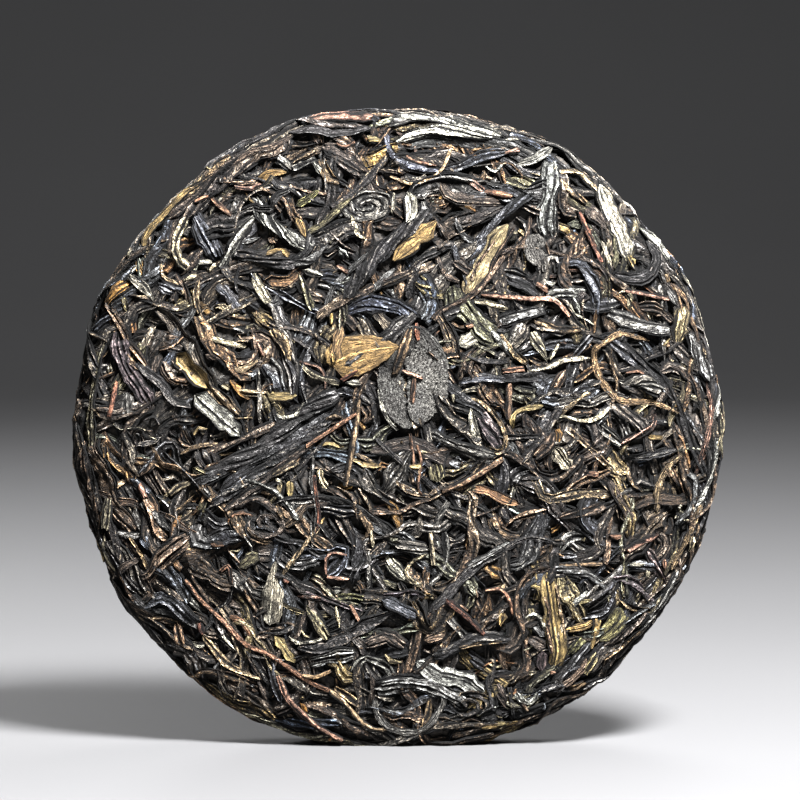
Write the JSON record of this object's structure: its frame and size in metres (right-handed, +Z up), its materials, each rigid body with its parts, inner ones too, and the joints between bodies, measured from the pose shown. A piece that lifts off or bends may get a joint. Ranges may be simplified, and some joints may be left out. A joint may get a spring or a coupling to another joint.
{
  "type": "raw pu-erh tea cake",
  "caption": "Round tea cake pressed from whole dried leaves, with domed faces, rounded edge and a hollow in the back, standing on its edge.",
  "frame": {"origin": "middle of the underside, at the flat spot of the edge that the cake stands on", "axes": "+Z up; the shown face looks towards -Y; +X is to the right for someone who looks at the shown face; the thickness runs along Y"},
  "size_m": [0.2012, 0.0278, 0.1979],
  "materials": {
    "pressed_leaf": "matt, dark and crumbly, in the gaps between the leaves",
    "dark_leaf": "dried leaf, charcoal, satin on its ridges",
    "brown_leaf": "dried leaf, brown, satin on its ridges",
    "olive_leaf": "dried leaf, grey-green to olive, satin on its ridges",
    "golden_leaf": "dried leaf, yellow-brown, satin",
    "silver_bud": "dried bud, silver to cream, downy",
    "stem": "dried stalk, red-brown, smooth",
    "crumb": "broken leaf of every shade, matt"
  },
  "bodies": {
    "root": {"tea_cake": "pressed_leaf"}
  },
  "joints": []
}
